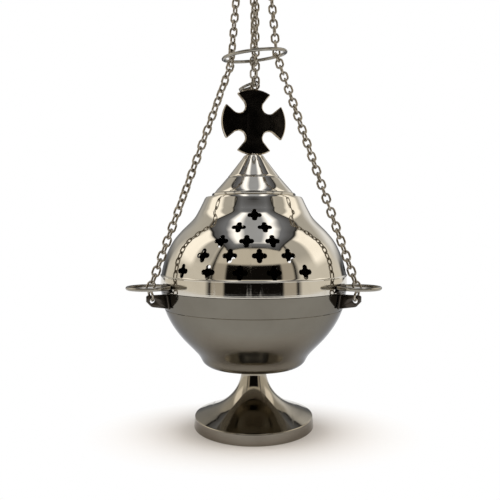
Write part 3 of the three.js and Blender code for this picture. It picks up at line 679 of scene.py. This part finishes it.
def lug(name, azimuth, saddle_width=4.8, thick=1.6):
    inner = outline(saddle_curve, -0.32) + [Vector((55.32, 80.8))]
    outer = outline(saddle_curve, -1.6) + [Vector((56.6, 80.8))]
    saddle = soften(band_piece(outer + list(reversed(inner)), saddle_width, 55), 0.3, 2, 50)
    edge = [p + Vector((0.6, 0)) for p in inner]
    nose = [(65.6, 80.8), (66.4, 80.6), (66.8, 80.0), (66.8, 77.3), (64.2, 74.6), (63.4, 74.3), (54.4, 72.8)]
    flag = flat_plate(edge + [Vector(p) for p in nose], thick)
    cut(flag, rod(1.5, 6, (LUG_HOLE[0] * MM, 0, LUG_HOLE[1] * MM), (math.pi / 2, 0, 0)))
    soften(flag, 0.22, 2, 50)
    return settle(join(name, [saddle, flag]), round_to(azimuth), 32)


# %% [markdown]
# A guide ring is a hoop of wire that stands out from the lid's band. Its ends are brazed to an ear, a short curved
# plate that tapers to the lid's lower edge: two cuts with a plane slope its shoulders. The part of the hoop that
# would pass into the lid is cut away.

# %% Guide rings
EAR_OUT = 56.6
EAR_TOP = 86.6


def ear(width=18, top_width=5):
    section = [(55.72, 82), (EAR_OUT, 82), (EAR_OUT, EAR_TOP), (55.69, EAR_TOP)]
    obj = band_piece(section, width, 56, 16)
    for side in (-1, 1):
        edit(obj)
        bpy.ops.mesh.bisect(plane_co=(0, side * top_width / 2 * MM, EAR_TOP * MM), plane_no=(0, side * 4.2, 6.5),
                            clear_outer=True, use_fill=True)
        tidy_shell()
    return soften(obj, 0.25, 2, 30)


def guide_ring(name, azimuth):
    guide_hoop = wire_ring(11.35, HOOP_WIRE, 96, 14)
    guide_hoop.data.transform(Matrix.Translation((65.5 * MM, 0, 84.9 * MM)))
    cut(guide_hoop, rod(55.75, 20, (0, 0, 85 * MM), vertices=256))
    return settle(join(name, [guide_hoop, ear()]), round_to(azimuth), 40)


lugs = {}
guides = {}
for name, azimuth in ARMS:
    lugs[name] = lug("chain_ear_" + name, azimuth)
    guides[name] = guide_ring("guide_hoop_" + name, azimuth)
tell("lugs", *lugs.values())
tell("guide rings", *guides.values())

# %% [markdown]
# Inside the bowl a coal cup of plain brass stands on a spacer, so that the bowl stays cooler. One bolt from the
# foot goes up through everything and a nut holds it. Another nut holds the cross's stem under the cone.

# %% Coal cup, spacer, bolt and nuts
cup_outline = [(BOLT_HOLE, 46.8), (18, 46.8), (19.2, 50.2), (23, 63.6), (24.8, 63.6), (25, 63.8), (25, 64.6),
               (24.7, 64.8), (21.8, 64.8), (18.1, 51.2), (17.4, 48), (BOLT_HOLE, 48)]
cup = settle(soften(turned("cup_spinning", cup_outline, 128), 0.12))
collar_outline = [(BOLT_HOLE, 38.5), (6, 38.5), (6, 46.5), (BOLT_HOLE, 46.5)]
collar = settle(soften(turned("spacer_turning", collar_outline, 64), 0.3))
bolt_outline = [(0, 31.4), (4.3, 31.4), (5, 32.2), (5, 34.4), (3, 34.4), (3, 53.2), (2.5, 53.8), (0, 53.8)]
bolt = turned("bolt_turning", bolt_outline, 64)
select_only()
bpy.ops.mesh.primitive_cube_add(size=1, scale=(12 * MM, 1.1 * MM, 2 * MM), location=off_axis(0, 0, 31.4))
cut(bolt, bpy.context.object)
bolt = settle(soften(bolt, 0.15))


def nut(name, radius, hole, bottom, top):
    middle = off_axis(0, 0, (bottom + top) / 2)
    body = rod(radius, top - bottom, middle, vertices=6)
    cut(body, rod(hole, 20, middle))
    body.name = name
    return settle(soften(body, 0.35, 3, 50))


cup_nut = nut("cup_nut_turning", 5.6, BOLT_HOLE, 48.3, 52.3)
cross_nut = nut("cross_nut_turning", 4.2, STEM_HOLE, 156.1, 159.1)
tell("nuts", cup_nut, cross_nut)

# %% [markdown]
# Nickel takes a brilliant polish, yet it is never quite even. Fine lines are left by the spinning, and handling
# leaves a soft haze and thin scratches. Two node groups give these as a height and as masks, and each material
# sets its own scale and strength.

# %% Node helpers
def new_group(name, inputs, outputs):
    tree = bpy.data.node_groups.new(name, "ShaderNodeTree")
    for socket, default in inputs:
        item = tree.interface.new_socket(socket, in_out="INPUT", socket_type="NodeSocketFloat")
        item.default_value = default
    for socket in outputs:
        tree.interface.new_socket(socket, in_out="OUTPUT", socket_type="NodeSocketFloat")
    return tree, tree.nodes.new("NodeGroupInput"), tree.nodes.new("NodeGroupOutput")


def feed(tree, node, **settings):
    """Gives a node its settings, its numbers and its links, each by the name it has on the node."""
    for key, value in settings.items():
        if key not in node.inputs:
            setattr(node, key, value)
        elif isinstance(value, bpy.types.NodeSocket):
            tree.links.new(value, node.inputs[key])
        else:
            node.inputs[key].default_value = value
    return node


def add(tree, kind, **settings):
    return feed(tree, tree.nodes.new(kind), **settings)


def maths(tree, operation, a, b=0.0, clamp=False):
    node = add(tree, "ShaderNodeMath", operation=operation, use_clamp=clamp)
    for socket, value in zip(node.inputs, (a, b)):
        if isinstance(value, bpy.types.NodeSocket):
            tree.links.new(value, socket)
        else:
            socket.default_value = value
    return node.outputs[0]


def ranged(tree, value, low, high, out_low=0.0, out_high=1.0):
    limits = {"From Min": low, "From Max": high, "To Min": out_low, "To Max": out_high}
    return add(tree, "ShaderNodeMapRange", Value=value, **limits).outputs["Result"]


def mixed(tree, under, over, mask):
    """Lays one colour over another by a mask. The colour under it may come from a node."""
    below = under if isinstance(under, bpy.types.NodeSocket) else (*under, 1)
    return add(tree, "ShaderNodeMix", data_type="RGBA", Factor=mask, A=below, B=(*over, 1)).outputs["Result"]


# %% Turning lines
def turning_lines_group():
    """Fine lines round the axis: a noise that knows only the radius and the height."""
    tree, given, out = new_group("turning_lines", [("Scale", 1500.0)], ["Height"])
    coords = add(tree, "ShaderNodeTexCoord")
    centred = add(tree, "ShaderNodeVectorMath", operation="SUBTRACT")
    centred.inputs[1].default_value = AXIS
    tree.links.new(coords.outputs["Object"], centred.inputs[0])
    split = add(tree, "ShaderNodeSeparateXYZ", Vector=centred.outputs[0])
    squares = [maths(tree, "POWER", split.outputs[axis], 2.0) for axis in (0, 1)]
    radius = maths(tree, "SQRT", maths(tree, "ADD", *squares))
    place = add(tree, "ShaderNodeCombineXYZ", X=radius, Y=split.outputs[2])
    noise = add(tree, "ShaderNodeTexNoise", noise_dimensions="2D", Vector=place.outputs[0],
                Scale=given.outputs["Scale"], Detail=4.0, Roughness=0.65)
    tree.links.new(noise.outputs["Fac"], out.inputs["Height"])
    return tree


turning_lines = turning_lines_group()

# %% Haze and scratches
def handling_group():
    """Soft haze from hands and polish, and thin scratches that run every way."""
    scales = [("Haze Scale", 40.0), ("Scratch Scale", 260.0)]
    tree, given, out = new_group("handling", scales, ["Haze", "Scratches"])
    coords = add(tree, "ShaderNodeTexCoord")
    soft = add(tree, "ShaderNodeTexNoise", Vector=coords.outputs["Object"], Scale=given.outputs["Haze Scale"],
               Detail=5.0, Roughness=0.6, Distortion=0.4)
    tree.links.new(ranged(tree, soft.outputs["Fac"], 0.38, 0.72), out.inputs["Haze"])
    total = None
    for turn in (0.4, 1.5, 2.6):
        mapping = add(tree, "ShaderNodeMapping", Vector=coords.outputs["Object"], Scale=(1.0, 0.05, 0.05),
                      Rotation=(turn, turn * 0.7, turn * 1.3))
        lines = add(tree, "ShaderNodeTexNoise", Vector=mapping.outputs[0], Scale=given.outputs["Scratch Scale"],
                    Detail=2.0, Roughness=0.5)
        thin = ranged(tree, lines.outputs["Fac"], 0.66, 0.74)
        total = thin if total is None else maths(tree, "MAXIMUM", total, thin)
    tree.links.new(total, out.inputs["Scratches"])
    return tree


handling = handling_group()

# %% [markdown]
# A finish mixes a clean colour with a tarnished one by the haze, lets the haze and the scratches roughen the
# gloss, and raises the turning lines by a hair's breadth. An edge colour darker than white keeps the satin bowl
# from turning into a mirror where it is seen at a slant. Flat values stay on the shader itself.

# %% One metal finish
LINE_DEPTH = 0.00002


def new_material(name):
    material = bpy.data.materials.new(name)
    material.use_nodes = True
    return material, material.node_tree, material.node_tree.nodes["Principled BSDF"]


def metal(name, clean, tarnish, rough, lines=0.0, line_scale=1500.0, haze=0.5, haze_scale=40.0, scratches=0.15,
          edge=(1, 1, 1)):
    material, tree, shader = new_material(name)
    worn = add(tree, "ShaderNodeGroup", node_tree=handling, **{"Haze Scale": haze_scale})
    colour = mixed(tree, clean, tarnish, maths(tree, "MULTIPLY", worn.outputs["Haze"], haze))
    hazed = ranged(tree, worn.outputs["Haze"], 0.0, 1.0, rough[0], rough[1])
    scratched = maths(tree, "MULTIPLY", worn.outputs["Scratches"], scratches)
    feed(tree, shader, Metallic=1.0, Roughness=maths(tree, "ADD", hazed, scratched, True),
         **{"Specular Tint": (*edge, 1), "Base Color": colour})
    if lines:
        turning = add(tree, "ShaderNodeGroup", node_tree=turning_lines, Scale=line_scale)
        bump = add(tree, "ShaderNodeBump", Strength=lines, Distance=LINE_DEPTH, Height=turning.outputs["Height"])
        feed(tree, shader, Normal=bump.outputs["Normal"])
    return material


# %% Finishes
polished_nickel = metal("polished_nickel", (0.62, 0.585, 0.52), (0.48, 0.44, 0.37), (0.02, 0.07), lines=0.2,
                        scratches=0.1)
foot_nickel = metal("foot_nickel", (0.36, 0.325, 0.265), (0.27, 0.235, 0.18), (0.04, 0.10), lines=0.25)
# A darker nickel for the foot's rim band: painted shade, for the dark room that the band mirrors.
rim_nickel_painted_shade = metal("rim_nickel_painted_shade", (0.21, 0.19, 0.16), (0.15, 0.13, 0.105), (0.10, 0.18), lines=0.3)
# The bowl's nickel is satin and far darker than the lid's: the darker colour is painted shade, for the shaded floor
# that the bowl mirrors.
satin_nickel = metal("satin_nickel", (0.19, 0.175, 0.145), (0.145, 0.13, 0.105), (0.08, 0.14), lines=0.4,
                     line_scale=2200.0, scratches=0.05, edge=(0.58, 0.59, 0.62))
dark_nickel = metal("dark_nickel", (0.06, 0.054, 0.05), (0.04, 0.034, 0.028), (0.14, 0.26), haze_scale=90.0,
                    scratches=0.05)
edge_nickel = metal("edge_nickel", (0.50, 0.44, 0.35), (0.36, 0.30, 0.22), (0.12, 0.24), haze_scale=160.0)
chain_nickel = metal("chain_nickel", (0.40, 0.36, 0.30), (0.17, 0.14, 0.10), (0.12, 0.26), haze=0.7,
                     haze_scale=260.0)
wire_nickel = metal("wire_nickel", (0.31, 0.29, 0.25), (0.18, 0.155, 0.12), (0.10, 0.2),
                    haze=0.6, haze_scale=120.0)
# Near-black nickel for the lugs and the ears of the guide rings: painted shade, for the shadow they stand in.
lug_nickel_painted_shade = metal("lug_nickel_painted_shade", (0.065, 0.056, 0.047), (0.04, 0.033, 0.027), (0.16, 0.30), haze_scale=120.0)
# Near black for the lid's inside: painted shade inside the closed lid.
inside_painted_shade = metal("lid_inside_painted_shade", (0.050, 0.042, 0.034), (0.018, 0.014, 0.011), (0.45, 0.7), haze=0.9,
               haze_scale=60.0)
cup_brass = metal("cup_brass", (0.60, 0.42, 0.19), (0.20, 0.13, 0.075), (0.25, 0.48), lines=0.5, haze=0.9)
plain_steel = metal("plain_steel", (0.46, 0.47, 0.48), (0.33, 0.30, 0.27), (0.24, 0.42),
                    haze=0.6, haze_scale=150.0)
print(len(bpy.data.materials), "materials")

# %% [markdown]
# Every piece now takes its finish and rides on the body whose motion it shares, and the node it stands for is
# hidden.

# %% Dress and place the pieces
def dress(piece, material, body, node):
    piece.data.materials.clear()
    piece.data.materials.append(material)
    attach(piece, body)
    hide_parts(node)


def second_finish(piece, material, wanted):
    """Gives another finish to the faces for which wanted(face) is true."""
    piece.data.materials.append(material)
    for face in piece.data.polygons:
        if wanted(face):
            face.material_index = len(piece.data.materials) - 1


dress(foot, foot_nickel, "bowl", "foot")
dress(bowl, satin_nickel, "bowl", "bowl")
dress(dome, polished_nickel, "lid", "lid_dome")
dress(cone, polished_nickel, "lid", "lid_cone")
dress(cross, dark_nickel, "lid", "cross")
dress(split_ring, wire_nickel, "lid", "cross_ring")
dress(cap, polished_nickel, "bowl", "hand_piece")
dress(loop, wire_nickel, "bowl", "hand_loop")
for piece, body in ((carrier, "suspension_ring"), (pull, "pull_ring"), (hoop, "gathering_ring")):
    dress(piece, wire_nickel, body, body)
dress(lid_chain, chain_nickel, "lid", "lid_chain")
for node, piece in chain_pieces.items():
    dress(piece, chain_nickel, "bowl" if node.startswith("upper") else node, node)
# The lugs take the near-black nickel, which is painted shade; the guide rings take plain wire nickel.
for name in lugs:
    dress(lugs[name], lug_nickel_painted_shade, "bowl", "chain_lug_" + name)
    dress(guides[name], wire_nickel, "lid", "guide_ring_" + name)
for piece, node in ((cup, "coal_cup"), (collar, "cup_spacer")):
    dress(piece, cup_brass, "bowl", node)
dress(bolt, plain_steel, "bowl", "foot_bolt")
dress(cup_nut, plain_steel, "bowl", "cup_nut")
dress(cross_nut, plain_steel, "lid", "cross_nut")

# %% [markdown]
# Some faces of a piece take another finish. The ears of the guide rings are near black, and the foot's rim band
# is darker: both are painted shade. The cross's bevelled edges are lighter. The lid's inside is near black, which
# is painted shade inside the closed lid.

# %% Painted shade on the ears, the rim band and the lid's inside, and lighter cross edges
FOOT_BAND_TOP = 6.6
# The ears of the guide rings take the near-black nickel as painted shade.
for guide in guides.values():
    second_finish(guide, lug_nickel_painted_shade, lambda face: (face.center - AXIS).xy.length < (EAR_OUT + 0.1) * MM)
# The foot's rim band takes the darker nickel as painted shade.
second_finish(foot, rim_nickel_painted_shade, lambda face: face.center.z < FOOT_BAND_TOP * MM and abs(face.normal.z) < 0.3)
cross_front = cross_place.to_3x3() @ Vector((0, -1, 0))
second_finish(cross, edge_nickel, lambda face: abs(face.normal.dot(cross_front)) < 0.95)
# The lid's inside takes the near-black finish as painted shade.
lid_middle = off_axis(0, 0, 95)
second_finish(dome, inside_painted_shade, lambda face: face.normal.dot((face.center - lid_middle).normalized()) < -0.6)

# %% [markdown]
# Polished metal has no look of its own: it shows the room. So the room is designed like a studio for silver: a
# pale floor, warm white screens at the sides with thin dark gaps, a grey back, a dim ceiling with one bright pane,
# and a dark place in front where the camera stands. The floor is round. Away from the foot it fades into plain
# white for the camera and for reflections, so that no horizon shows.

# %% Floor
select_only()
bpy.ops.mesh.primitive_circle_add(vertices=96, radius=1.6, fill_type="NGON", location=(0, 0, 0))
floor = bpy.context.object
floor.name = "studio_floor"
floor_material, tree, floor_shader = new_material("pale_floor")
feed(tree, floor_shader, Roughness=0.9, **{"Base Color": (0.80, 0.765, 0.745, 1), "Specular IOR Level": 0.1})
floor.data.materials.append(floor_material)

# %% Fade the floor into the backdrop
coords = add(tree, "ShaderNodeTexCoord")
oval = add(tree, "ShaderNodeMapping", Vector=coords.outputs["Object"], Location=(0, 0.024, 0), Scale=(0.62, 1, 1))
reach = add(tree, "ShaderNodeVectorMath", operation="LENGTH", Vector=oval.outputs["Vector"])
faded = ranged(tree, reach.outputs["Value"], 0.025, 0.060)
path = add(tree, "ShaderNodeLightPath")
seen = maths(tree, "ADD", path.outputs["Is Camera Ray"], path.outputs["Is Glossy Ray"], True)
seen = maths(tree, "ADD", seen, path.outputs["Is Transmission Ray"], True)
glow = add(tree, "ShaderNodeEmission", Strength=1.0)
blend = add(tree, "ShaderNodeMixShader")
shares = (maths(tree, "MULTIPLY", faded, seen), floor_shader.outputs[0], glow.outputs[0])
for socket, share in zip(blend.inputs, shares):
    tree.links.new(share, socket)
feed(tree, tree.nodes["Material Output"], Surface=blend.outputs[0])

# %% [markdown]
# The room is painted on the world, by direction. The azimuth counts in degrees from the camera's side, 0, round
# either way to the back, 180, and the elevation counts up from the horizon. For the ceiling, a direction is told
# by its slopes from straight up: across to either side, and along from the front, which is negative, to the back.

# %% Directions in the room
world = bpy.data.worlds.new("studio")
bpy.context.scene.world = world
world.use_nodes = True
tree = world.node_tree
tree.nodes.clear()
coords = add(tree, "ShaderNodeTexCoord")
split = add(tree, "ShaderNodeSeparateXYZ", Vector=coords.outputs["Generated"])
side_x, deep_y, high_z = split.outputs[0], split.outputs[1], split.outputs[2]
azimuth = maths(tree, "ARCTAN2", maths(tree, "ABSOLUTE", side_x), maths(tree, "MULTIPLY", deep_y, -1.0))
azimuth = maths(tree, "MULTIPLY", azimuth, 180 / math.pi)
elevation = maths(tree, "MULTIPLY", maths(tree, "ARCSINE", high_z), 180 / math.pi)
above = maths(tree, "MAXIMUM", high_z, 0.05)
across = maths(tree, "DIVIDE", maths(tree, "ABSOLUTE", side_x), above)
along = maths(tree, "DIVIDE", deep_y, above)


def both(one, other):
    return maths(tree, "MULTIPLY", one, other)


def window(value, low, high, soft):
    """1 where the value lies between low and high, with soft edges."""
    rise = ranged(tree, value, low - soft, low + soft)
    fall = ranged(tree, value, high - soft, high + soft, 1.0, 0.0)
    return both(rise, fall)


def overhead(side, front, back, soft):
    """The part of the ceiling that lies within these slopes from straight up."""
    return both(window(across, -1, side, soft), window(along, front, back, soft))


# %% Paint the walls and the ceiling, each patch over the ones before it
high_back = both(window(azimuth, 130, 157, 7), window(elevation, 10, 38, 6))
patches = [
    # beside the dark front: beige, a thin gap, warm white screens
    ((0.53, 0.48, 0.40), window(azimuth, 35, 51, 1.5)),
    ((0.88, 0.83, 0.73), window(azimuth, 56, 136, 3)),
    # a dark back with a grey field behind the censer, lit from the right higher up
    ((0.15, 0.155, 0.165), ranged(tree, azimuth, 134, 152)),
    ((0.30, 0.295, 0.28), both(ranged(tree, azimuth, 150, 164), ranged(tree, elevation, 4, 14))),
    ((0.50, 0.485, 0.455), high_back),
    ((1.05, 1.04, 1.02), both(high_back, ranged(tree, side_x, 0.0, 0.2))),
    # over the screens: a duller wall, and a bright window in it
    ((0.60, 0.57, 0.51), both(window(azimuth, 58, 150, 3), ranged(tree, elevation, 22, 34))),
    ((1.6, 1.52, 1.38), both(window(azimuth, 86, 122, 4), window(elevation, 20, 56, 4))),
    # over the camera: a light strip
    ((0.80, 0.74, 0.63), both(window(azimuth, -60, 50, 3), window(elevation, 29.5, 52, 1.5))),
    # the ceiling: a dark seam, smoke grey inside it, a lighter middle, and a bright lamp with a grey pane in it
    ((0.02, 0.018, 0.016), overhead(0.67, -0.76, 1.2, 0.02)),
    ((0.13, 0.132, 0.14), overhead(0.62, -0.73, 1.1, 0.02)),
    ((0.24, 0.25, 0.275), overhead(0.50, -0.66, 1.0, 0.07)),
    ((1.9, 1.9, 1.92), overhead(0.35, -0.50, 0.16, 0.06)),
    ((0.50, 0.52, 0.56), overhead(0.18, -0.50, 0.30, 0.05)),
]
room = (0.007, 0.006, 0.005)
for colour, mask in patches:
    room = mixed(tree, room, colour, mask)
print(len(patches), "patches in the room")

# %% Backdrop for the camera, room for the metal
path = add(tree, "ShaderNodeLightPath")
studio = add(tree, "ShaderNodeBackground", Strength=1.0, Color=room)
backdrop = add(tree, "ShaderNodeBackground", Strength=1.0, Color=(1, 1, 1, 1))
choose = add(tree, "ShaderNodeMixShader")
for socket, share in zip(choose.inputs, (path.outputs["Is Camera Ray"], studio.outputs[0], backdrop.outputs[0])):
    tree.links.new(share, socket)
add(tree, "ShaderNodeOutputWorld", Surface=choose.outputs[0])

# %% [markdown]
# One large soft lamp hangs overhead and two weaker ones stand at the sides. They keep the shadow soft, and most of
# it lies close round the foot. The metal doesn't mirror them, because the room already has its bright places.

# %% Lamps
def soft_lamp(name, place, size, power):
    select_only()
    bpy.ops.object.light_add(type="AREA", location=place)
    lamp = bpy.context.object
    lamp.name = name
    lamp.data.shape = "RECTANGLE"
    lamp.data.size, lamp.data.size_y = size
    lamp.data.energy = power
    lamp.data.color = (1.0, 0.97, 0.92)
    lamp.visible_glossy = False
    aim = Vector((0, -0.011, 0.12)) - Vector(place)
    lamp.rotation_euler = aim.to_track_quat("-Z", "Y").to_euler()


soft_lamp("lamp_above", (0, 0.05, 0.95), (0.7, 0.7), 7)
soft_lamp("lamp_left", (-0.85, -0.25, 0.55), (0.5, 0.8), 2.5)
soft_lamp("lamp_right", (0.85, -0.25, 0.55), (0.5, 0.8), 2.5)

# %% [markdown]
# The camera stands level at the height of the lid, 330 mm in front of the axis, as the photograph shows it. The
# shifts move the picture and not the camera, so upright lines stay upright.

# %% Camera
select_only()
bpy.ops.object.camera_add(location=(0, -0.341125, 0.114), rotation=(math.pi / 2, 0, 0))
camera = bpy.context.object
camera.data.sensor_width = 36
camera.data.lens = 39.6
camera.data.shift_x = -0.0075
camera.data.shift_y = -0.032
camera.data.clip_start = 0.01
print("camera at", tuple(round(c, 3) for c in camera.location))
bpy.context.scene.camera = camera
bpy.context.scene.view_settings.view_transform = "Standard"
